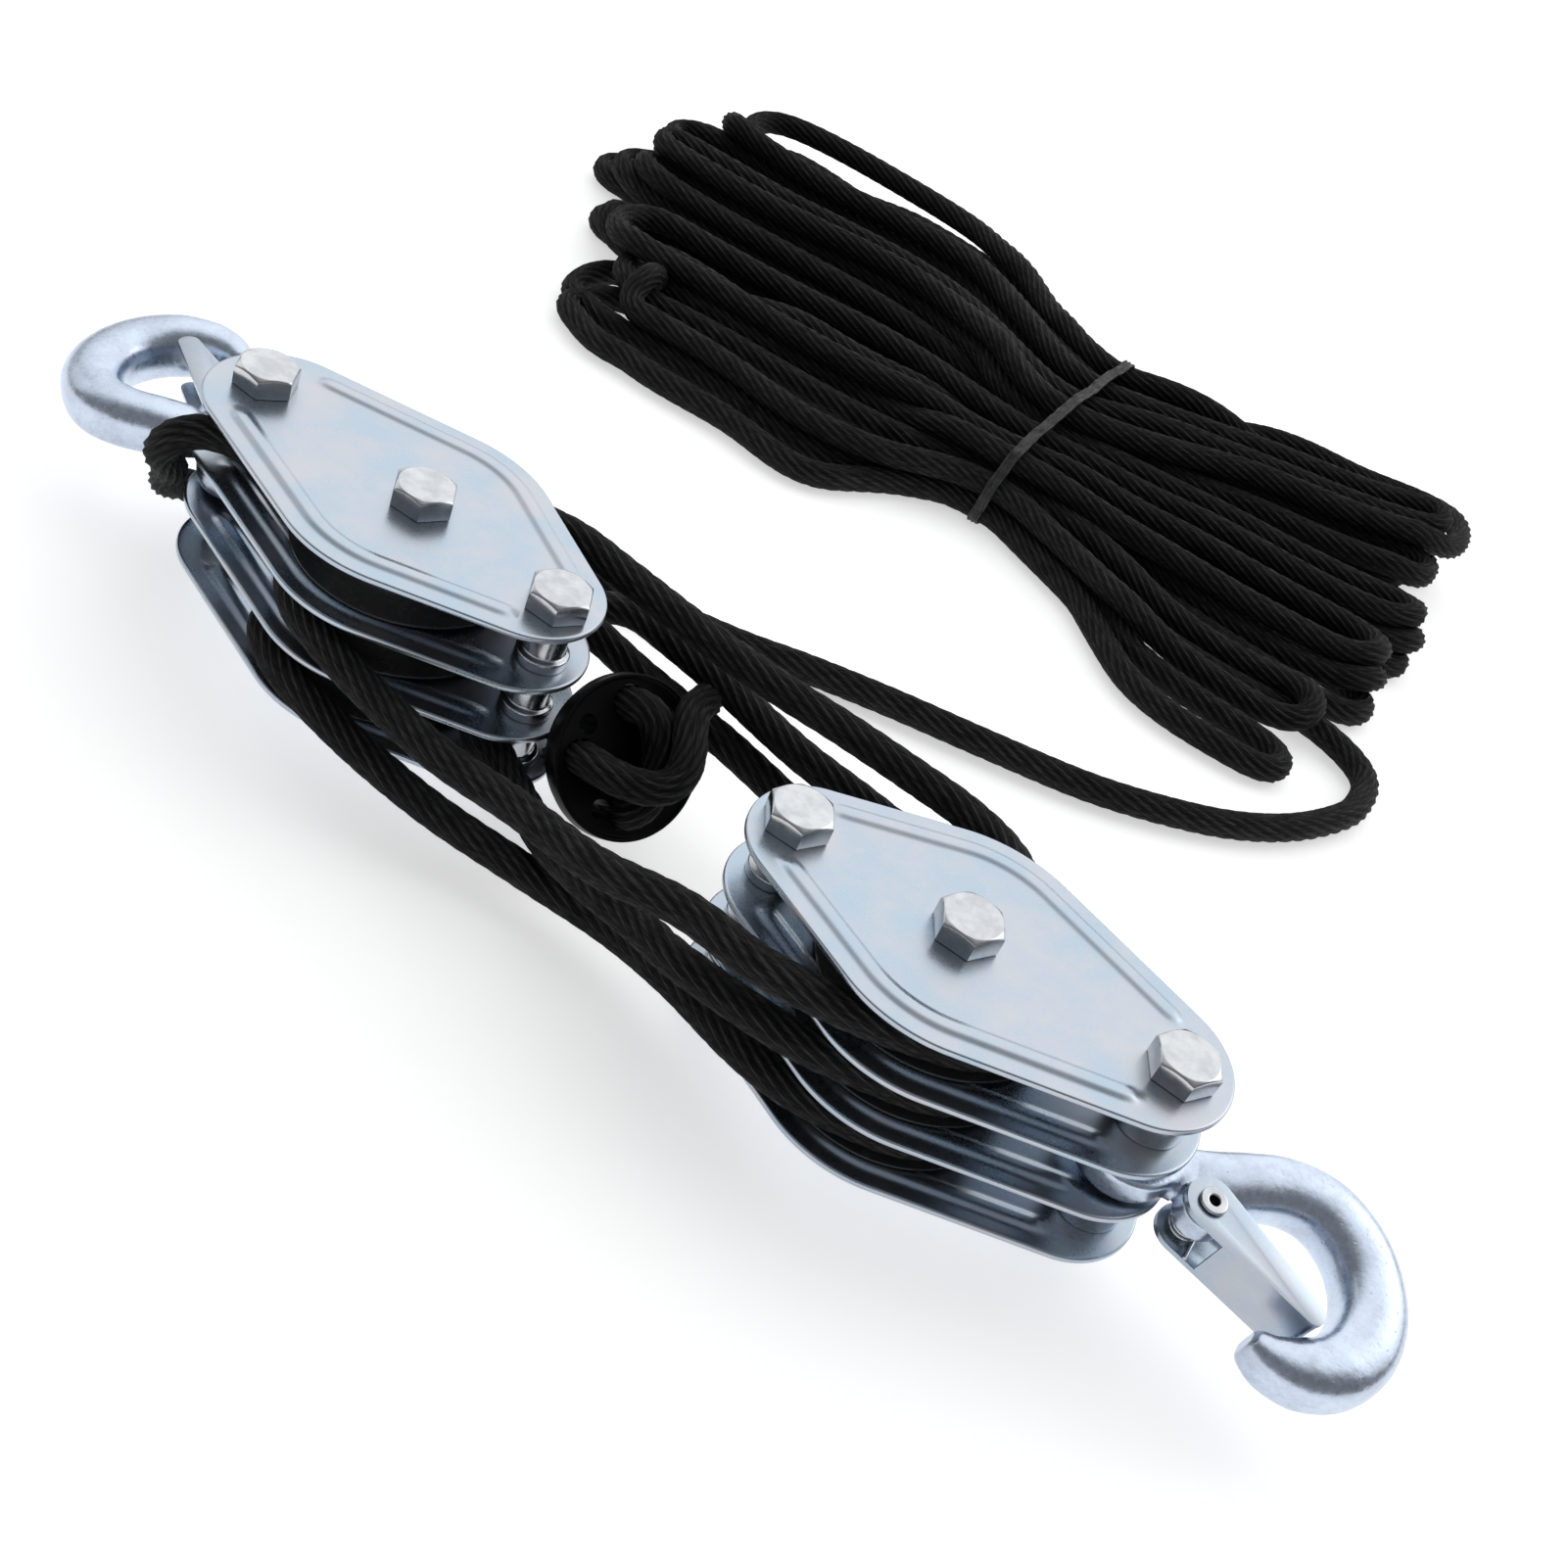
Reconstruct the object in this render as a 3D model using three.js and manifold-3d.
// Block and tackle: two triple-sheave blocks, one rope reeved through both, a rope anchor and a hank.
// Millimetres, +Z up. The origin is on the floor, on the axle of block 1. Block 2 lies toward +X.
import * as THREE from 'three';
import { mergeVertices } from 'three/addons/utils/BufferGeometryUtils.js';
import Module from 'manifold-3d';

const wasm = await Module();
wasm.setup();

// Clearances and faceting
const FIT = 0.3;
const OVERRUN = 2;
const ROUND_SIDES = 12;
const ARC_SEGMENTS = 4;
const BEAD_SEGMENTS = 2;

// Cheek plates
const PLATE_THICKNESS = 1.6;
const PLATE_GAP = 12.8;
const PLATE_COUNT = 4;
const PLATE_MID_RADIUS = 31.4;
const PLATE_MID_OFFSET = 0.9;
const PLATE_INNER_RADIUS = 16.8;
const PLATE_HOOK_RADIUS = 18.7;
const INNER_BOLT_REACH = 39.8;
const INNER_EDGE_MARGIN = 9.4;
const HOOK_BOLT_REACH = 48.7;
const HOOK_EDGE_MARGIN = 11.4;
const BEAD_INSET = 5.9;
const BEAD_WIDTH = 5.6;
const BEAD_HEIGHT = 0.8;

// Bolts and nuts
const BOLT_DIAMETER = 7.8;
const BOLT_HOLE_DIAMETER = 8.6;
const HEX_ACROSS_FLATS = 13;
const HEAD_HEIGHT = 5.3;
const NUT_HEIGHT = 6.8;
const BOLT_TAIL = 3.1;

// Tubes on the bolts
const INNER_SPACER_DIAMETER = 9.6;
const HOOK_SPACER_DIAMETER = 15.6;
const HOOK_BUSH_DIAMETER = 11;
const AXLE_BUSH_DIAMETER = 12;

// Rope
const ROPE_DIAMETER = 8;
const ROPE_SIDES = 8;
const ROPE_STEP = 9;
const KNOT_STEP = 3.8;

// Sheaves
const SHEAVE_RADIUS = 26.4;
const SHEAVE_HUB_WIDTH = 12.2;
const SHEAVE_RIM_WIDTH = 10.6;
const SHEAVE_HUB_RADIUS = 12;
const SHEAVE_LIP = 0.8;
const SHEAVE_SIDES = 16;
const WRAP_RADIUS = 22.8;
const GROOVE_CLEARANCE = 0.6;
const GROOVE_FLAT_SHARE = 0.7;

// Hook
const EYE_RADIUS = 12;
const EYE_BORE_RADIUS = 6.8;
const EYE_THICKNESS = 7.5;
const HOOK_REACH = 57.6;
const HOOK_HALF_SECTION = 7.3;
const HOOK_SECTION_SIDES = 10;
const LUG_REACH_SHARE = 0.3194;
const LUG_SIDE_SHARE = 0.0833;
const LATCH_LENGTH_SHARE = 0.4757;
const LUG_REACH = HOOK_REACH * LUG_REACH_SHARE;
const LUG_SIDE = -HOOK_REACH * LUG_SIDE_SHARE;
const LUG_RADIUS = 5.4;
const LUG_TOP = 5.3;
const LUG_BOTTOM = -0.4;
const EYE_TILT_SHARE = 0.84;

// Latch, rivet and spring
const LATCH_SHEET = 1.4;
const LATCH_INNER_HALF = 5.6;
const LATCH_LENGTH = HOOK_REACH * LATCH_LENGTH_SHARE;
const LATCH_TIP_RADIUS = 2.5;
const LATCH_DROP_DEGREES = -13;
const LATCH_WEB_START = 7.2;
const RIVET_SHANK_RADIUS = 2;
const RIVET_HEAD_RADIUS = 3;
const RIVET_HEAD_HEIGHT = 0.8;
const RIVET_BORE_RADIUS = 1.15;
const RIVET_SIDES = 8;
const SPRING_WIRE = 0.8;
const SPRING_RADIUS = 3.2;
const SPRING_PITCH = 1.25;
const SPRING_CURLS = 3;
const SPRING_STEPS = 8;
const SPRING_SIDES = 5;
const SPRING_LEG = 6;

// Rope anchor
const PUCK_RADIUS = 18.8;
const PUCK_THICKNESS = 8.4;
const PUCK_FLANGE = 3.2;
const PUCK_BODY_RADIUS = 17.4;
const PUCK_BACK_RADIUS = 15.4;
const PUCK_LIP_WIDTH = 0.9;
const PUCK_LIP_HEIGHT = 0.5;
const PUCK_HOLE_RADIUS = 4.4;
const PUCK_HOLE_REACH = 12;
const PUCK_SMALL_HOLE_RADIUS = 2.3;
const PUCK_SMALL_HOLE_REACH = 13;
const PUCK_SIDES = 24;

// Hank and tie
const HANK_LAYERS = 2;
const HANK_TURNS_PER_LAYER = 4.5;
const HANK_START_TURN = -0.05;
const HANK_CLIMB_TURNS = 0.5;
const HANK_STEPS_PER_TURN = 24;
const HANK_SIDES = 6;
const GAP_PARTS = 6;
const HANK_REACH_RIGHT = 130;
const HANK_REACH_LEFT = 182;
const HANK_WAIST_HALF = 50;
const HANK_SWELL = 165;
const HANK_REACH_STEP = 13;
const HANK_WAIST_STEP = 9.6;
const HANK_SWELL_STEP = 28;
const HANK_LAYER_RISE = 9;
const HANK_END_SHARE = 0.25;
const TIE_WIDTH = 4;
const TIE_THICKNESS = 0.8;
const TIE_SLACK = 2;

// Placing
const BLOCK_2_PLACE = new THREE.Vector2(151.3, -3.7);
const BLOCK_2_HEADING_DEGREES = 7.05;
const HANK_PLACE = new THREE.Vector2(46, 249);
const HANK_HEADING_DEGREES = 9.6;

// Derived heights above the floor
const PITCH = PLATE_THICKNESS + PLATE_GAP;
const FOOT_HEIGHT = NUT_HEIGHT + BOLT_TAIL;
const STACK_HEIGHT = (PLATE_COUNT - 1) * PITCH + PLATE_THICKNESS;
const STACK_TOP = FOOT_HEIGHT + STACK_HEIGHT;
const ROPE_RADIUS = ROPE_DIAMETER / 2;

function plateBottom(number) {
  return FOOT_HEIGHT + (PLATE_COUNT - number) * PITCH;
}

function bayCentre(number) {
  return plateBottom(number + 1) + PLATE_THICKNESS + PLATE_GAP / 2;
}

const BAY_1 = bayCentre(1);
const BAY_2 = bayCentre(2);
const BAY_3 = bayCentre(3);
const FLOOR_ROPE = ROPE_RADIUS + FIT;

// Materials
const ZINC = { color: 0xc9d3dc, metalness: 0.9, roughness: 0.32 };
const BRIGHT_STEEL = { color: 0xd6d8d9, metalness: 0.95, roughness: 0.25 };
const FORGED_ZINC = { color: 0xb9c4cf, metalness: 0.9, roughness: 0.42 };
const BLACK_PLASTIC = { color: 0x17181a, metalness: 0, roughness: 0.38 };
const BLACK_ROPE = { color: 0x111112, metalness: 0, roughness: 0.85 };
const BLACK_TAPE = { color: 0x1c1c1d, metalness: 0, roughness: 0.5 };

function piece(name, geometry, finish) {
  const mesh = new THREE.Mesh(geometry, new THREE.MeshStandardMaterial(finish));
  mesh.name = name;
  return mesh;
}

function bare(geometry) {
  const copy = geometry.clone();
  copy.deleteAttribute('normal');
  copy.deleteAttribute('uv');
  copy.clearGroups();
  return mergeVertices(copy);
}

function toSolid(geometry) {
  const shell = bare(geometry);
  const vertProperties = Float32Array.from(shell.getAttribute('position').array);
  const triVerts = Uint32Array.from(shell.getIndex().array);
  return new wasm.Manifold(new wasm.Mesh({ numProp: 3, vertProperties, triVerts }));
}

function toGeometry(solid) {
  const mesh = solid.getMesh();
  const geometry = new THREE.BufferGeometry();
  geometry.setAttribute('position', new THREE.Float32BufferAttribute(mesh.vertProperties, 3));
  geometry.setIndex(Array.from(mesh.triVerts));
  geometry.computeVertexNormals();
  return geometry;
}

function extrude(shape, from, to, curveSegments = ARC_SEGMENTS) {
  const options = { depth: to - from, bevelEnabled: false, curveSegments };
  return new THREE.ExtrudeGeometry(shape, options).translate(0, 0, from);
}

// An even-sided closed outline, added to a shape or a path
function roundOutline(outline, x, y, radius, sides) {
  for (let side = 0; side < sides; side += 1) {
    const angle = (2 * Math.PI * side) / sides;
    const step = side === 0 ? 'moveTo' : 'lineTo';
    outline[step](x + radius * Math.cos(angle), y + radius * Math.sin(angle));
  }
  outline.closePath();
  return outline;
}

function roundHole(x, y, radius) {
  return roundOutline(new THREE.Path(), x, y, radius, ROUND_SIDES);
}

// A ring about +Z, from one height to another
function tube(outer, inner, from, to, sides = ROUND_SIDES) {
  const profile = [
    new THREE.Vector2(inner, from),
    new THREE.Vector2(outer, from),
    new THREE.Vector2(outer, to),
    new THREE.Vector2(inner, to),
    new THREE.Vector2(inner, from),
  ];
  return new THREE.LatheGeometry(profile, sides);
}

function cylinder(radius, from, to, sides = ROUND_SIDES) {
  const geometry = new THREE.CylinderGeometry(radius, radius, to - from, sides);
  return geometry.rotateX(Math.PI / 2).translate(0, 0, (from + to) / 2);
}

// A lathe turns about Y; this stands it on +Z
function stand(geometry) {
  return geometry.rotateX(Math.PI / 2);
}

// The angle, from +X, of the line that touches two circles on one axis
function tangentAngle(largeRadius, smallRadius, distance) {
  return Math.acos((largeRadius - smallRadius) / distance);
}

const PLATE_INNER_CENTRE = INNER_BOLT_REACH + INNER_EDGE_MARGIN - PLATE_INNER_RADIUS;
const PLATE_HOOK_CENTRE = HOOK_BOLT_REACH + HOOK_EDGE_MARGIN - PLATE_HOOK_RADIUS;
const HOOK_SIDE_ANGLE = tangentAngle(
  PLATE_MID_RADIUS, PLATE_HOOK_RADIUS, PLATE_HOOK_CENTRE - PLATE_MID_OFFSET);
const INNER_SIDE_ANGLE = tangentAngle(
  PLATE_MID_RADIUS, PLATE_INNER_RADIUS, PLATE_INNER_CENTRE + PLATE_MID_OFFSET);
const BOLT_PLACES = { inner: -INNER_BOLT_REACH, axle: 0, hook: HOOK_BOLT_REACH };

function plateOutline() {
  const shape = new THREE.Shape();
  shape.absarc(PLATE_HOOK_CENTRE, 0, PLATE_HOOK_RADIUS, -HOOK_SIDE_ANGLE, HOOK_SIDE_ANGLE, false);
  shape.absarc(PLATE_MID_OFFSET, 0, PLATE_MID_RADIUS, HOOK_SIDE_ANGLE, Math.PI - INNER_SIDE_ANGLE, false);
  shape.absarc(-PLATE_INNER_CENTRE, 0, PLATE_INNER_RADIUS,
    Math.PI - INNER_SIDE_ANGLE, Math.PI + INNER_SIDE_ANGLE, false);
  shape.absarc(PLATE_MID_OFFSET, 0, PLATE_MID_RADIUS,
    Math.PI + INNER_SIDE_ANGLE, 2 * Math.PI - HOOK_SIDE_ANGLE, false);
  for (const x of Object.values(BOLT_PLACES)) {
    shape.holes.push(roundHole(x, 0, BOLT_HOLE_DIAMETER / 2));
  }
  return shape;
}

// One pressed bead along a long side of the plate, round at both ends
function beadOutline() {
  const half = BEAD_WIDTH / 2;
  const hookRun = PLATE_HOOK_RADIUS - BEAD_INSET;
  const midRun = PLATE_MID_RADIUS - BEAD_INSET;
  const innerRun = PLATE_INNER_RADIUS - BEAD_INSET;
  const hookEnd = new THREE.Vector2(
    PLATE_HOOK_CENTRE + hookRun * Math.cos(HOOK_SIDE_ANGLE), hookRun * Math.sin(HOOK_SIDE_ANGLE));
  const innerTurn = Math.PI - INNER_SIDE_ANGLE;
  const innerEnd = new THREE.Vector2(
    -PLATE_INNER_CENTRE + innerRun * Math.cos(innerTurn), innerRun * Math.sin(innerTurn));
  const shape = new THREE.Shape();
  shape.absarc(hookEnd.x, hookEnd.y, half, HOOK_SIDE_ANGLE - Math.PI, HOOK_SIDE_ANGLE, false);
  shape.absarc(PLATE_MID_OFFSET, 0, midRun + half, HOOK_SIDE_ANGLE, innerTurn, false);
  shape.absarc(innerEnd.x, innerEnd.y, half, innerTurn, innerTurn + Math.PI, false);
  shape.absarc(PLATE_MID_OFFSET, 0, midRun - half, innerTurn, HOOK_SIDE_ANGLE, true);
  return shape;
}

function plateGeometry() {
  const beadTop = PLATE_THICKNESS + BEAD_HEIGHT;
  const left = toSolid(extrude(beadOutline(), PLATE_THICKNESS / 2, beadTop, BEAD_SEGMENTS));
  const right = left.mirror([0, 1, 0]);
  const sheet = toSolid(extrude(plateOutline(), 0, PLATE_THICKNESS));
  return toGeometry(sheet.add(left).add(right));
}

function hexGeometry(from, to) {
  return cylinder(HEX_ACROSS_FLATS / Math.sqrt(3), from, to, 6);
}

function boltGeometry() {
  const head = toSolid(hexGeometry(STACK_TOP, STACK_TOP + HEAD_HEIGHT));
  const shank = toSolid(cylinder(BOLT_DIAMETER / 2, 0, STACK_TOP + HEAD_HEIGHT / 2));
  return toGeometry(head.add(shank));
}

function nutGeometry() {
  const body = toSolid(hexGeometry(BOLT_TAIL, FOOT_HEIGHT));
  const bore = toSolid(cylinder(BOLT_DIAMETER / 2 + FIT, BOLT_TAIL - OVERRUN, FOOT_HEIGHT + OVERRUN));
  return toGeometry(body.subtract(bore));
}

function sheaveGeometry() {
  const hub = SHEAVE_HUB_WIDTH / 2;
  const rim = SHEAVE_RIM_WIDTH / 2;
  const bore = AXLE_BUSH_DIAMETER / 2 + FIT;
  const grooveHalf = rim - SHEAVE_LIP;
  const grooveFloor = WRAP_RADIUS - ROPE_RADIUS - GROOVE_CLEARANCE;
  const half = [
    [bore, -hub],
    [SHEAVE_HUB_RADIUS, -hub],
    [SHEAVE_HUB_RADIUS + (hub - rim), -rim],
    [SHEAVE_RADIUS, -rim],
    [SHEAVE_RADIUS, -grooveHalf],
    [WRAP_RADIUS, -grooveHalf + FIT / 2],
    [grooveFloor, -ROPE_RADIUS * GROOVE_FLAT_SHARE],
  ];
  const mirrored = half.map(([radius, height]) => [radius, -height]).reverse();
  const profile = [...half, ...mirrored, half[0]].map(([radius, height]) => new THREE.Vector2(radius, height));
  return stand(new THREE.LatheGeometry(profile, SHEAVE_SIDES));
}

function spacerGeometry(diameter) {
  return stand(tube(diameter / 2, BOLT_DIAMETER / 2 + FIT, -PLATE_GAP / 2, PLATE_GAP / 2));
}

// The forged hook's centre line in its own plane, as shares of its reach from the eye: along, across,
// and the half width and half height there, as shares of the thickest half section
const HOOK_STATION_SHARES = [
  [0.156, 0.007, 0.822, 0.493],
  [0.234, 0.031, 0.863, 0.507],
  [0.321, 0.076, 0.904, 0.74],
  [0.425, 0.156, 0.918, 0.863],
  [0.547, 0.24, 0.932, 0.904],
  [0.686, 0.276, 0.959, 0.932],
  [0.825, 0.236, 0.986, 0.945],
  [0.934, 0.139, 1, 0.945],
  [0.997, 0.01, 1, 0.945],
  [1, -0.125, 0.973, 0.932],
  [0.944, -0.243, 0.877, 0.89],
  [0.847, -0.323, 0.726, 0.822],
  [0.747, -0.354, 0.548, 0.712],
  [0.67, -0.358, 0.356, 0.548],
];

// The triangles of a tube's wall and of its two flat ends
function closeTube(index, count, sides) {
  for (let row = 0; row < count - 1; row += 1) {
    for (let side = 0; side < sides; side += 1) {
      const next = (side + 1) % sides;
      const here = row * sides;
      const there = here + sides;
      index.push(here + side, here + next, there + side);
      index.push(here + next, there + next, there + side);
    }
  }
  for (let side = 1; side < sides - 1; side += 1) {
    const last = (count - 1) * sides;
    index.push(0, side + 1, side);
    index.push(last, last + side, last + side + 1);
  }
}

// A closed body through flat oval sections, each square to the line through its neighbours
function sectionSweep(stations, sides) {
  const positions = [];
  const index = [];
  const count = stations.length;
  stations.forEach((station, row) => {
    const before = stations[Math.max(row - 1, 0)].at;
    const after = stations[Math.min(row + 1, count - 1)].at;
    const along = new THREE.Vector2(after[0] - before[0], after[1] - before[1]).normalize();
    for (let side = 0; side < sides; side += 1) {
      const angle = (2 * Math.PI * side) / sides;
      const across = station.wide * Math.cos(angle);
      positions.push(station.at[0] - along.y * across, station.at[1] + along.x * across,
        station.high * Math.sin(angle));
    }
  });
  closeTube(index, count, sides);
  const geometry = new THREE.BufferGeometry();
  geometry.setAttribute('position', new THREE.Float32BufferAttribute(positions, 3));
  geometry.setIndex(index);
  return geometry;
}

function hookGeometry() {
  const half = EYE_THICKNESS / 2;
  const eye = toSolid(cylinder(EYE_RADIUS, -half, half, 2 * ROUND_SIDES));
  const stations = HOOK_STATION_SHARES.map(([along, across, wide, high]) => ({
    at: [HOOK_REACH * along, HOOK_REACH * across],
    wide: HOOK_HALF_SECTION * wide,
    high: HOOK_HALF_SECTION * high,
  }));
  const body = toSolid(sectionSweep(stations, HOOK_SECTION_SIDES));
  const lug = toSolid(cylinder(LUG_RADIUS, LUG_BOTTOM, LUG_TOP).translate(LUG_REACH, LUG_SIDE, 0));
  const bore = toSolid(cylinder(EYE_BORE_RADIUS, -half - OVERRUN, half + OVERRUN));
  const rivetRadius = RIVET_SHANK_RADIUS + FIT;
  const rivetHole = toSolid(
    cylinder(rivetRadius, LUG_BOTTOM - OVERRUN, LUG_TOP + OVERRUN).translate(LUG_REACH, LUG_SIDE, 0));
  const springRoom = toSolid(
    cylinder(LUG_RADIUS + FIT, -LATCH_INNER_HALF - OVERRUN, LUG_BOTTOM).translate(LUG_REACH, LUG_SIDE, 0));
  const earRoom = toSolid(
    cylinder(LUG_RADIUS + 2 * FIT, LATCH_INNER_HALF - FIT, LATCH_INNER_HALF + 2 * OVERRUN)
      .translate(LUG_REACH, LUG_SIDE, 0));
  return toGeometry(eye.add(body).add(lug).subtract(bore).subtract(rivetHole)
    .subtract(springRoom).subtract(earRoom));
}

// The latch is a folded channel: two cheeks that straddle the lug, joined by a web on the outer side
function latchGeometry() {
  const outerHalf = LATCH_INNER_HALF + LATCH_SHEET;
  const outline = new THREE.Shape();
  const lean = Math.asin((LUG_RADIUS - LATCH_TIP_RADIUS) / LATCH_LENGTH);
  outline.absarc(0, 0, LUG_RADIUS, Math.PI / 2 - lean, 1.5 * Math.PI + lean, false);
  outline.absarc(LATCH_LENGTH, 0, LATCH_TIP_RADIUS, -Math.PI / 2 + lean, Math.PI / 2 - lean, false);
  outline.holes.push(roundHole(0, 0, RIVET_SHANK_RADIUS + FIT));
  const body = toSolid(extrude(outline, -outerHalf, outerHalf));
  const hollow = new THREE.Shape();
  hollow.moveTo(-LUG_RADIUS - OVERRUN, -LUG_RADIUS - OVERRUN);
  hollow.lineTo(LATCH_WEB_START, -LUG_RADIUS - OVERRUN);
  hollow.lineTo(LATCH_WEB_START, -LUG_RADIUS + LATCH_SHEET + 2 * LATCH_WEB_START * Math.sin(lean));
  hollow.lineTo(LATCH_LENGTH + LATCH_TIP_RADIUS + OVERRUN, -LATCH_TIP_RADIUS + LATCH_SHEET);
  hollow.lineTo(LATCH_LENGTH + LATCH_TIP_RADIUS + OVERRUN, LUG_RADIUS + OVERRUN);
  hollow.lineTo(-LUG_RADIUS - OVERRUN, LUG_RADIUS + OVERRUN);
  const room = toSolid(extrude(hollow, -LATCH_INNER_HALF, LATCH_INNER_HALF));
  return toGeometry(body.subtract(room));
}

function rivetGeometry() {
  const seat = LATCH_INNER_HALF + LATCH_SHEET + FIT / 2;
  const end = seat + RIVET_HEAD_HEIGHT;
  const half = [
    [RIVET_BORE_RADIUS, -end],
    [RIVET_HEAD_RADIUS, -end],
    [RIVET_HEAD_RADIUS, -seat],
    [RIVET_SHANK_RADIUS, -seat],
  ];
  const mirrored = half.map(([radius, height]) => [radius, -height]).reverse();
  const profile = [...half, ...mirrored, half[0]].map(([radius, height]) => new THREE.Vector2(radius, height));
  return stand(new THREE.LatheGeometry(profile, RIVET_SIDES));
}

// A round cord along a smooth line through the points
function cordGeometry(points, radius, sides, steps) {
  const extrudePath = new THREE.CatmullRomCurve3(points, false, 'centripetal');
  const section = roundOutline(new THREE.Shape(), 0, 0, radius, sides);
  return new THREE.ExtrudeGeometry(section, { steps, extrudePath });
}

// The least gap of a cord to itself, measured on points of its centre line at least one share of a turn apart
function leastGap(points, diameter, apart) {
  let least = Infinity;
  const dense = [];
  for (let row = 0; row < points.length - 1; row += 1) {
    for (let part = 0; part < GAP_PARTS; part += 1) {
      dense.push(points[row].clone().lerp(points[row + 1], part / GAP_PARTS));
    }
  }
  for (let first = 0; first < dense.length; first += 1) {
    for (let second = first + apart * GAP_PARTS; second < dense.length; second += 1) {
      least = Math.min(least, dense[first].distanceTo(dense[second]));
    }
  }
  return least - diameter;
}

function springPoints() {
  const points = [];
  const low = -LATCH_INNER_HALF + FIT + SPRING_WIRE / 2;
  points.push(new THREE.Vector3(SPRING_RADIUS, -SPRING_LEG, low));
  for (let step = 0; step <= SPRING_CURLS * SPRING_STEPS; step += 1) {
    const angle = (2 * Math.PI * step) / SPRING_STEPS;
    const height = low + (SPRING_PITCH * step) / SPRING_STEPS;
    points.push(new THREE.Vector3(SPRING_RADIUS * Math.cos(angle), SPRING_RADIUS * Math.sin(angle), height));
  }
  return points;
}

function springGeometry() {
  const points = springPoints();
  console.log('spring gap to itself', leastGap(points.slice(1), SPRING_WIRE, SPRING_STEPS / 2).toFixed(2));
  return cordGeometry(points, SPRING_WIRE / 2, SPRING_SIDES, points.length - 1);
}

function hookGroup(prefix, outShare, sideShare, yawDegrees) {
  const play = Math.atan((PLATE_GAP - EYE_THICKNESS) / (2 * EYE_RADIUS)) * EYE_TILT_SHARE;
  const group = new THREE.Group();
  group.rotation.set(play * sideShare, play * outShare, THREE.MathUtils.degToRad(yawDegrees), 'ZYX');
  group.position.set(HOOK_BOLT_REACH, 0, BAY_2);
  group.add(piece(`${prefix}_hook`, hookGeometry(), FORGED_ZINC));
  const pivot = new THREE.Group();
  pivot.position.set(LUG_REACH, LUG_SIDE, 0);
  const latch = piece(`${prefix}_hook_latch`, latchGeometry(), ZINC);
  latch.rotation.z = THREE.MathUtils.degToRad(LATCH_DROP_DEGREES);
  pivot.add(latch);
  pivot.add(piece(`${prefix}_latch_rivet`, rivetGeometry(), BRIGHT_STEEL));
  pivot.add(piece(`${prefix}_latch_spring`, springGeometry(), BRIGHT_STEEL));
  group.add(pivot);
  return group;
}

function blockGroup(prefix, hookTurns) {
  const group = new THREE.Group();
  for (let number = 1; number <= PLATE_COUNT; number += 1) {
    const plate = piece(`${prefix}_plate_${number}`, plateGeometry(), ZINC);
    plate.position.z = plateBottom(number);
    group.add(plate);
  }
  for (const [place, x] of Object.entries(BOLT_PLACES)) {
    const bolt = piece(`${prefix}_${place}_bolt`, boltGeometry(), BRIGHT_STEEL);
    bolt.position.x = x;
    bolt.rotation.z = THREE.MathUtils.degToRad(hookTurns.hex[place]);
    group.add(bolt);
    const nut = piece(`${prefix}_${place}_nut`, nutGeometry(), BRIGHT_STEEL);
    nut.position.x = x;
    group.add(nut);
  }
  for (let bay = 1; bay < PLATE_COUNT; bay += 1) {
    const sheave = piece(`${prefix}_sheave_${bay}`, sheaveGeometry(), BLACK_PLASTIC);
    sheave.position.z = bayCentre(bay);
    group.add(sheave);
    const bush = piece(`${prefix}_axle_bush_${bay}`, spacerGeometry(AXLE_BUSH_DIAMETER), BRIGHT_STEEL);
    bush.position.z = bayCentre(bay);
    group.add(bush);
    const inner = piece(`${prefix}_inner_spacer_${bay}`, spacerGeometry(INNER_SPACER_DIAMETER), BRIGHT_STEEL);
    inner.position.set(-INNER_BOLT_REACH, 0, bayCentre(bay));
    group.add(inner);
  }
  for (const bay of [1, 3]) {
    const spacer = piece(`${prefix}_hook_spacer_${bay}`, spacerGeometry(HOOK_SPACER_DIAMETER), BRIGHT_STEEL);
    spacer.position.set(HOOK_BOLT_REACH, 0, bayCentre(bay));
    group.add(spacer);
  }
  const bush = piece(`${prefix}_hook_bush`, spacerGeometry(HOOK_BUSH_DIAMETER), BRIGHT_STEEL);
  bush.position.set(HOOK_BOLT_REACH, 0, BAY_2);
  group.add(bush);
  group.add(hookGroup(prefix, hookTurns.outShare, hookTurns.sideShare, hookTurns.yaw));
  return group;
}

// Points of a rope's centre line
function at(x, y, z) {
  return new THREE.Vector3(x, y, z);
}

const WRAP_STEP = THREE.MathUtils.degToRad(6);

// The rope's centre line round a sheave, between two world angles in degrees
function wrap(centre, from, to, height) {
  const span = THREE.MathUtils.degToRad(to - from);
  const start = THREE.MathUtils.degToRad(from);
  const count = Math.round(Math.abs(span) / WRAP_STEP);
  const points = [];
  for (let step = 0; step <= count; step += 1) {
    const angle = start + (span * step) / count;
    points.push(at(centre.x + WRAP_RADIUS * Math.cos(angle), centre.y + WRAP_RADIUS * Math.sin(angle), height));
  }
  return points;
}

const BLOCK_1_AXLE = new THREE.Vector2(0, 0);

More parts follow.
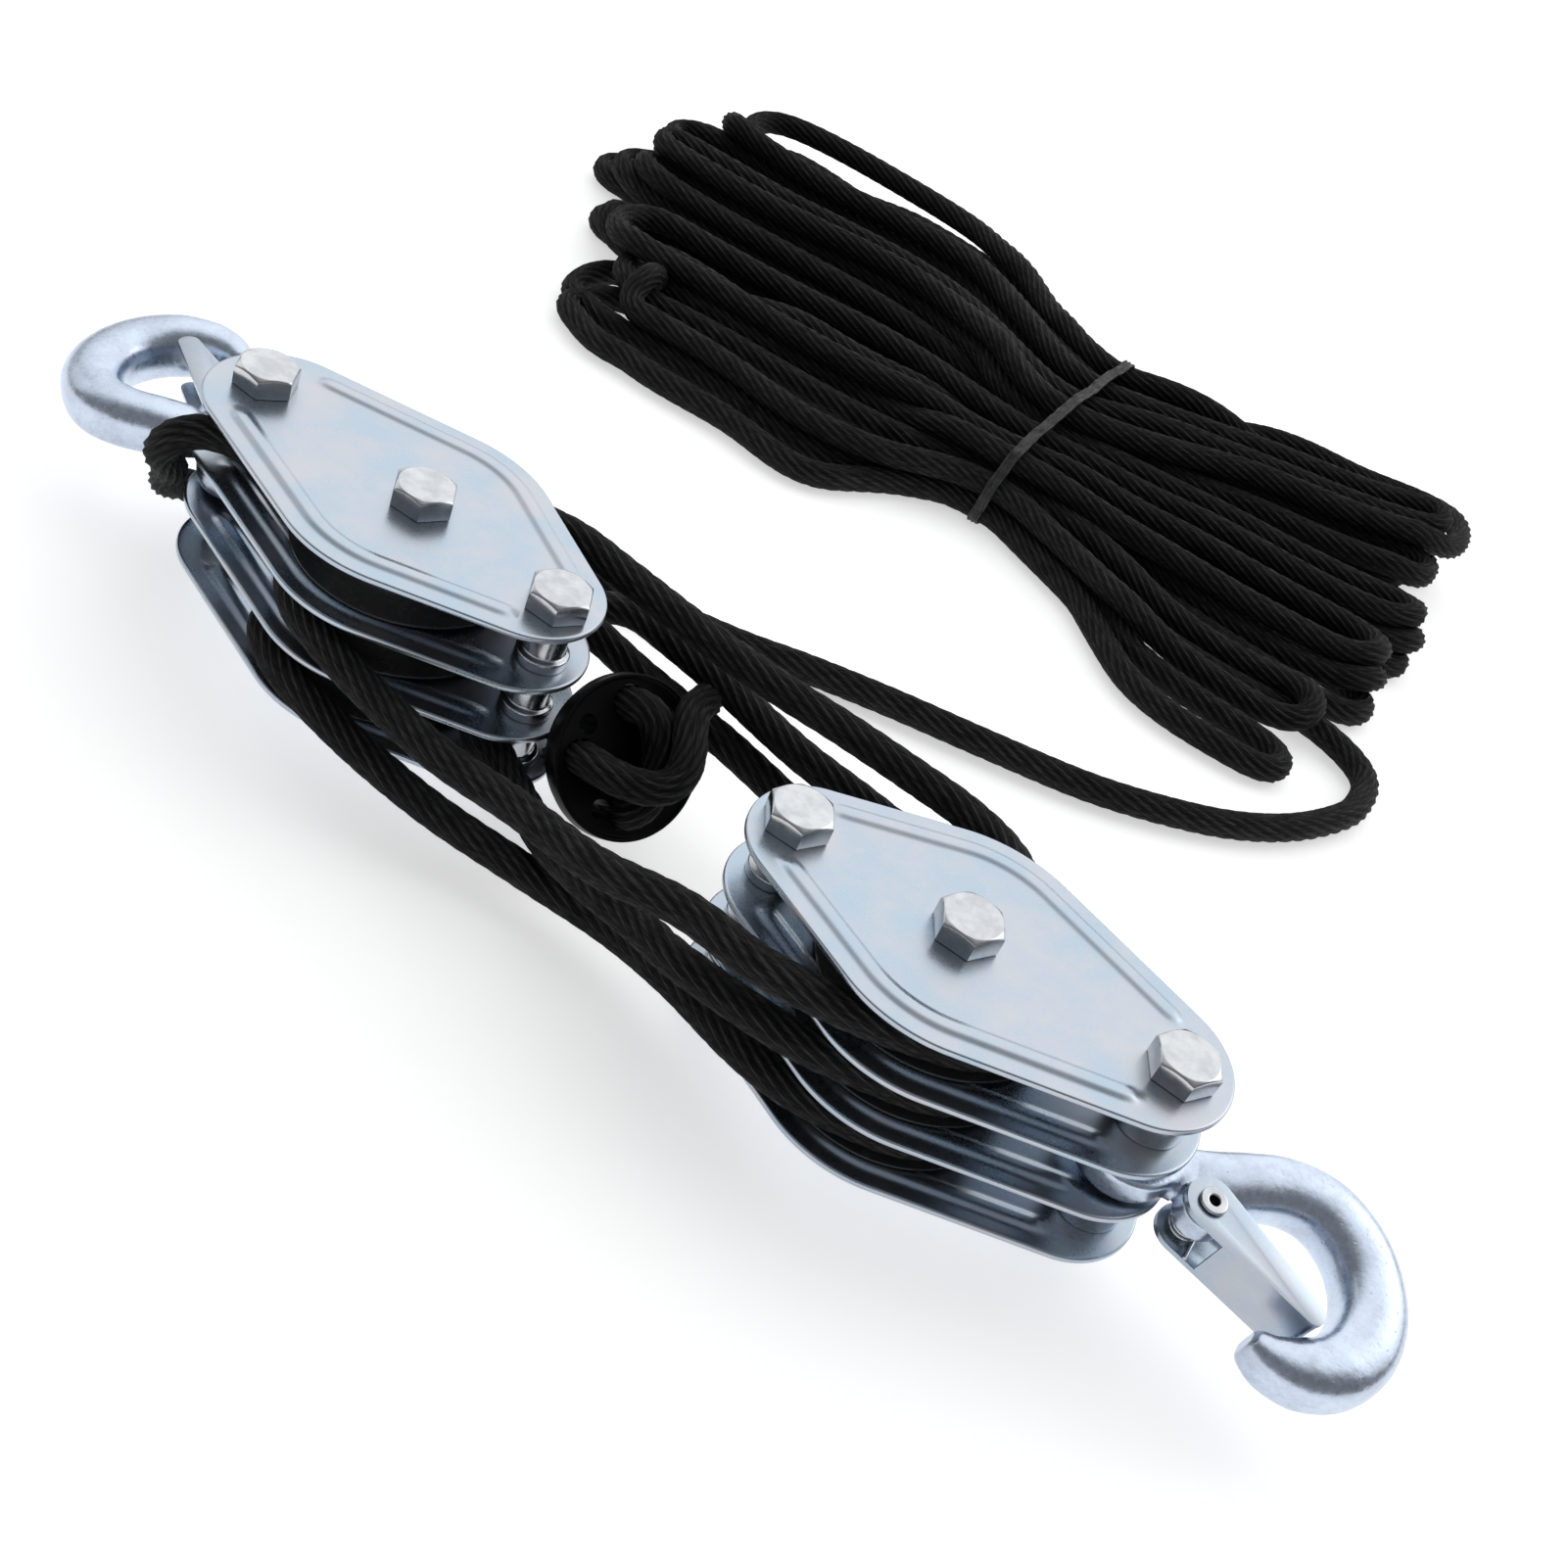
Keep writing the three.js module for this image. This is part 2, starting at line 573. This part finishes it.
// From the top sheave of block 1, along the back, round the top sheave of block 2, back to the middle sheave
const FALL_1_ROUTE = [
  ...wrap(BLOCK_1_AXLE, 147, 104, BAY_1),
  at(6, 27.5, BAY_1), at(20, 32.5, BAY_1), at(36, 32.5, BAY_1), at(59, 32, BAY_1), at(81, 33, BAY_1),
  at(97, 35, BAY_1), at(116, 36.5, BAY_1), at(131, 37, BAY_1), at(143, 34.5, BAY_1), at(154, 27, BAY_1),
  ...wrap(BLOCK_2_PLACE, 46, -62, BAY_1),
  at(149, -30.5, BAY_1), at(138, -34.5, BAY_1), at(127, -37.3, BAY_1), at(108.5, -37, 45.4), at(88, -38, 40.5),
  at(66, -34.8, 35.8), at(43, -33.8, BAY_2), at(20, -32, BAY_2), at(5, -29.3, BAY_2), at(-6, -26, BAY_2),
  at(-13.5, -20.5, BAY_2),
  ...wrap(BLOCK_1_AXLE, 213, 181, BAY_2),
];

// From the middle sheave of block 1, round the bottom sheave of block 2, back to the bottom sheave
const FALL_2_ROUTE = [
  ...wrap(BLOCK_1_AXLE, 179, 100, BAY_2),
  at(8, 24.6, BAY_2), at(22, 27.5, 32), at(36, 29, 30), at(47, 31.5, 26.5), at(60, 33, 24.6),
  at(74, 32.8, 24.2), at(87, 32.5, 23), at(101, 33.5, 20), at(116, 33.5, BAY_3), at(130, 31.5, BAY_3),
  at(143, 26.5, BAY_3),
  ...wrap(BLOCK_2_PLACE, 66, -66, BAY_3),
  at(149, -29, BAY_3), at(140, -31, BAY_3), at(129, -31, BAY_3), at(108, -27, 16.8), at(88.5, -22, 11.5),
  at(65.3, -24.3, 10.6), at(43, -29.2, 12.8), at(23, -32, 16), at(8, -32, BAY_3), at(-3, -30, BAY_3),
  at(-14.5, -24.5, BAY_3), at(-19.5, -17, BAY_3),
  ...wrap(BLOCK_1_AXLE, 204, 181, BAY_3),
];

// From the bottom sheave of block 1, round the middle sheave of block 2, back to the dead end
const FALL_3_ROUTE = [
  ...wrap(BLOCK_1_AXLE, 179, 110, BAY_3),
  at(3, 27, BAY_3), at(12, 34, 18.8), at(20, 40, 22), at(28, 43.5, 26.5), at(36, 43, 30.5), at(47, 41, BAY_2),
  at(66, 39.5, BAY_2), at(79, 37.5, BAY_2), at(92, 36, BAY_2), at(110, 36, BAY_2), at(127, 35, BAY_2),
  at(140, 31, BAY_2), at(151, 24.5, BAY_2),
  ...wrap(BLOCK_2_PLACE, 58, -66, BAY_2),
  at(149, -29.5, BAY_2), at(139, -33, BAY_2), at(127, -35, BAY_2), at(110, -35, 30.8), at(98, -31, 27.3),
  at(85, -27.5, 23.5), at(75, -24.2, 20.6), at(67, -20.9, 18.5), at(59, -17.2, BAY_3),
];

// Places on the rope anchor's face: across, up the face, and out from it
const PUCK_CENTRE = at(64.5, 7.4, 25.8);
const PUCK_NORMAL = at(0.732, -0.301, 0.612).normalize();
const PUCK_ACROSS = at(0, 0, 1).cross(PUCK_NORMAL).normalize();
const PUCK_UP = PUCK_NORMAL.clone().cross(PUCK_ACROSS).normalize();
const LARGE_HOLE_DEGREES = [82, 172, 262, 352];
const SMALL_HOLE_DEGREES = [37, 137, 232, 313];

function onPuck(across, up, out) {
  return PUCK_CENTRE.clone().addScaledVector(PUCK_ACROSS, across).addScaledVector(PUCK_UP, up)
    .addScaledVector(PUCK_NORMAL, out);
}

function puckHole(number, out) {
  const angle = THREE.MathUtils.degToRad(LARGE_HOLE_DEGREES[number]);
  return onPuck(PUCK_HOLE_REACH * Math.cos(angle), PUCK_HOLE_REACH * Math.sin(angle), out);
}

// The dead end: an eye round the inner bolt of block 1, then laced through the anchor, and cut
function eyePoints() {
  const radius = INNER_SPACER_DIAMETER / 2 + FIT + ROPE_RADIUS;
  const points = [];
  for (let degrees = -82; degrees >= -262; degrees -= 20) {
    const angle = THREE.MathUtils.degToRad(degrees);
    points.push(at(INNER_BOLT_REACH + radius * Math.cos(angle), radius * Math.sin(angle), BAY_3));
  }
  return points;
}

const DEAD_END_ROUTE = [
  at(58.7, -17.05, BAY_3), at(50.5, -13.2, BAY_3),
  ...eyePoints(),
  at(44.5, 10.4, BAY_3), at(49.8, 13, 19.4), at(50.3, 16.3, 23.6),
  puckHole(0, -9.4), puckHole(0, -4.2), puckHole(0, 1),
  onPuck(4.4, 9, 5.6), onPuck(6.4, 2.5, 5.8), onPuck(5, -5, 6.2), onPuck(0.6, -10.4, 5.6),
  puckHole(2, 1.6), puckHole(2, -4.2), puckHole(2, -9),
  at(60.5, 7, 8.9), at(56.3, 6, 10.4), at(53.4, 3.5, 14.7), at(51.4, 0.9, 19),
  puckHole(1, -8), puckHole(1, -4.2), puckHole(1, 1.2),
  onPuck(-9.6, -0.8, 5), onPuck(-4.2, -3.2, 9.4), onPuck(1, -3.6, 13.6), onPuck(6.5, -0.8, 15),
  onPuck(10.5, 5, 13.6), onPuck(13.8, 9.6, 10.5), onPuck(16.5, 12.5, 7.8),
];

const TIE_BASE = FIT;
const HANK_BASE = TIE_BASE + TIE_THICKNESS + FIT + ROPE_RADIUS;

// The hank's centre line: loops drawn in at the waist, spiralling in, up and out, with straight ends
function hankLine() {
  const layerTurns = HANK_TURNS_PER_LAYER;
  const total = HANK_LAYERS * layerTurns + HANK_CLIMB_TURNS * (HANK_LAYERS - 1);
  const steps = Math.round(total * HANK_STEPS_PER_TURN);
  const points = [];
  for (let step = 0; step <= steps; step += 1) {
    const turn = (total * step) / steps;
    const climb = THREE.MathUtils.clamp((turn - layerTurns) / HANK_CLIMB_TURNS, 0, 1);
    const inward = turn < layerTurns ? turn : Math.min(layerTurns, total - turn);
    const even = 2 * Math.PI * (turn + HANK_START_TURN);
    const angle = even - HANK_END_SHARE * Math.sin(2 * even);
    const along = Math.cos(angle);
    const reach = (along > 0 ? HANK_REACH_RIGHT : HANK_REACH_LEFT) - HANK_REACH_STEP * inward;
    const waist = HANK_WAIST_HALF - HANK_WAIST_STEP * inward;
    const swell = HANK_SWELL - HANK_SWELL_STEP * inward;
    const side = Math.sin(angle) * (waist + swell * along * along);
    points.push(at(reach * along, side, HANK_BASE + HANK_LAYER_RISE * climb));
  }
  const runOut = (end, before) => end.clone().add(end.clone().sub(before).setLength(ROPE_DIAMETER));
  points.unshift(runOut(points[0], points[1]));
  points.push(runOut(points[points.length - 1], points[points.length - 2]));
  return points;
}

const HANK_LINE = hankLine();

// A place before the hank's first point, in line with its first run, as world coordinates
function beforeHank(distance) {
  const along = HANK_LINE[1].clone().sub(HANK_LINE[0]).normalize();
  const heading = THREE.MathUtils.degToRad(HANK_HEADING_DEGREES);
  return HANK_LINE[0].clone().addScaledVector(along, -distance).applyAxisAngle(at(0, 0, 1), heading)
    .add(at(HANK_PLACE.x, HANK_PLACE.y, 0));
}

// The free line: a loose loop past the hook end of block 1, along the floor behind it, to the hank
const HAUL_ROUTE = [
  at(-19.3, 12.15, BAY_1), at(-23.4, 5.7, BAY_1), at(-29, -2, BAY_1), at(-36, -9.5, BAY_1), at(-45, -12.8, BAY_1), at(-51, -17, 46), at(-54.5, -21.5, 42.6),
  at(-56.5, -20.5, 37), at(-57.5, -15.5, 31.8), at(-63.5, -10.5, 21.5), at(-66.5, 0.5, 14), at(-62.5, 14, 8.5),
  at(-53, 28, 5.6), at(-38, 43, FLOOR_ROPE), at(-17, 60, FLOOR_ROPE), at(5, 75, FLOOR_ROPE),
  at(28, 84, FLOOR_ROPE), at(45, 89, FLOOR_ROPE), at(58, 94, FLOOR_ROPE), at(80, 103, FLOOR_ROPE),
  at(108, 114, FLOOR_ROPE), at(134, 123, FLOOR_ROPE), at(153, 135, FLOOR_ROPE), at(166, 147, FLOOR_ROPE),
  at(177, 163, FLOOR_ROPE), at(184, 184, FLOOR_ROPE), at(184.8, 197, FLOOR_ROPE),
  at(183.2, 208.5, 4.7), beforeHank(ROPE_DIAMETER + FIT), beforeHank(FIT),
];

// A closed tube through points that lie nearly level, with one section square to the line at each point
function levelTube(points, radius, sides) {
  const positions = [];
  const index = [];
  const count = points.length;
  points.forEach((point, row) => {
    const before = points[Math.max(row - 1, 0)];
    const after = points[Math.min(row + 1, count - 1)];
    const along = after.clone().sub(before).normalize();
    const across = at(0, 0, 1).cross(along).normalize();
    const up = along.clone().cross(across);
    for (let side = 0; side < sides; side += 1) {
      const angle = (2 * Math.PI * side) / sides;
      const place = point.clone().addScaledVector(across, radius * Math.cos(angle))
        .addScaledVector(up, radius * Math.sin(angle));
      positions.push(place.x, place.y, place.z);
    }
  });
  closeTube(index, count, sides);
  const geometry = new THREE.BufferGeometry();
  geometry.setAttribute('position', new THREE.Float32BufferAttribute(positions, 3));
  geometry.setIndex(index);
  return geometry;
}

function hankGroup() {
  const group = new THREE.Group();
  group.position.set(HANK_PLACE.x, HANK_PLACE.y, 0);
  group.rotation.z = THREE.MathUtils.degToRad(HANK_HEADING_DEGREES);
  console.log('hank gap to itself', leastGap(HANK_LINE, ROPE_DIAMETER, HANK_STEPS_PER_TURN / 2).toFixed(2));
  const hank = levelTube(HANK_LINE, ROPE_RADIUS, HANK_SIDES);
  group.add(piece('rope_hank', hank, BLACK_ROPE));
  group.add(piece('hank_tie', tieGeometry(), BLACK_TAPE));
  return group;
}

// A band round the waist: a long slot shape with corners that follow the outermost ropes
function tieGeometry() {
  const half = HANK_WAIST_HALF + ROPE_RADIUS + TIE_SLACK;
  const top = HANK_BASE + HANK_LAYER_RISE * (HANK_LAYERS - 1) + ROPE_RADIUS + FIT;
  const bottom = TIE_BASE + TIE_THICKNESS;
  const corner = ROPE_RADIUS + FIT;
  const ring = (outset, maker) => {
    const radius = corner + outset;
    maker.absarc(half - corner, bottom + corner, radius, -Math.PI / 2, 0, false);
    maker.absarc(half - corner, top - corner, radius, 0, Math.PI / 2, false);
    maker.absarc(corner - half, top - corner, radius, Math.PI / 2, Math.PI, false);
    maker.absarc(corner - half, bottom + corner, radius, Math.PI, 1.5 * Math.PI, false);
    return maker;
  };
  const shape = ring(TIE_THICKNESS, new THREE.Shape());
  shape.holes.push(ring(0, new THREE.Path()));
  const band = extrude(shape, -TIE_WIDTH / 2, TIE_WIDTH / 2);
  return band.rotateX(Math.PI / 2).rotateZ(Math.PI / 2);
}

function puckGeometry() {
  const lipInner = PUCK_RADIUS - PUCK_LIP_WIDTH;
  const profile = [
    [0, -PUCK_THICKNESS],
    [PUCK_BACK_RADIUS, -PUCK_THICKNESS],
    [PUCK_BODY_RADIUS, -PUCK_THICKNESS + (PUCK_BODY_RADIUS - PUCK_BACK_RADIUS)],
    [PUCK_BODY_RADIUS, -PUCK_FLANGE],
    [PUCK_RADIUS, -PUCK_FLANGE],
    [PUCK_RADIUS, PUCK_LIP_HEIGHT],
    [lipInner, PUCK_LIP_HEIGHT],
    [lipInner, 0],
    [0, 0],
  ].map(([radius, height]) => new THREE.Vector2(radius, height));
  const kinds = [
    { degrees: LARGE_HOLE_DEGREES, reach: PUCK_HOLE_REACH, radius: PUCK_HOLE_RADIUS, sides: ROUND_SIDES },
    { degrees: SMALL_HOLE_DEGREES, reach: PUCK_SMALL_HOLE_REACH, radius: PUCK_SMALL_HOLE_RADIUS, sides: 8 },
  ];
  let body = toSolid(stand(new THREE.LatheGeometry(profile, PUCK_SIDES)));
  for (const kind of kinds) {
    for (const degrees of kind.degrees) {
      const angle = THREE.MathUtils.degToRad(degrees);
      const hole = cylinder(kind.radius, -PUCK_THICKNESS - OVERRUN, OVERRUN, kind.sides);
      hole.translate(kind.reach * Math.cos(angle), kind.reach * Math.sin(angle), 0);
      body = body.subtract(toSolid(hole));
    }
  }
  return toGeometry(body);
}

function ropePiece(name, route, step) {
  const length = new THREE.CatmullRomCurve3(route, false, 'centripetal').getLength();
  return piece(name, cordGeometry(route, ROPE_RADIUS, ROPE_SIDES, Math.round(length / step)), BLACK_ROPE);
}

const group = new THREE.Group();

const block1 = blockGroup('block_1', {
  outShare: 0.8, sideShare: -0.6, yaw: -12, hex: { inner: -57, axle: 66, hook: 0 },
});
block1.rotation.z = Math.PI;
group.add(block1);

const block2 = blockGroup('block_2', {
  outShare: 0.6, sideShare: 0.8, yaw: 0, hex: { inner: -54, axle: 5, hook: -57 },
});
block2.position.set(BLOCK_2_PLACE.x, BLOCK_2_PLACE.y, 0);
block2.rotation.z = THREE.MathUtils.degToRad(BLOCK_2_HEADING_DEGREES);
group.add(block2);

group.add(ropePiece('rope_fall_1', FALL_1_ROUTE, ROPE_STEP));
group.add(ropePiece('rope_fall_2', FALL_2_ROUTE, ROPE_STEP));
group.add(ropePiece('rope_fall_3', FALL_3_ROUTE, ROPE_STEP));
group.add(ropePiece('rope_dead_end', DEAD_END_ROUTE, KNOT_STEP));
group.add(ropePiece('haul_line', HAUL_ROUTE, ROPE_STEP));

const puck = piece('rope_anchor', puckGeometry(), BLACK_PLASTIC);
puck.position.copy(PUCK_CENTRE);
puck.quaternion.setFromRotationMatrix(
  new THREE.Matrix4().makeBasis(PUCK_ACROSS, PUCK_UP, PUCK_NORMAL));
group.add(puck);

group.add(hankGroup());

export default group;
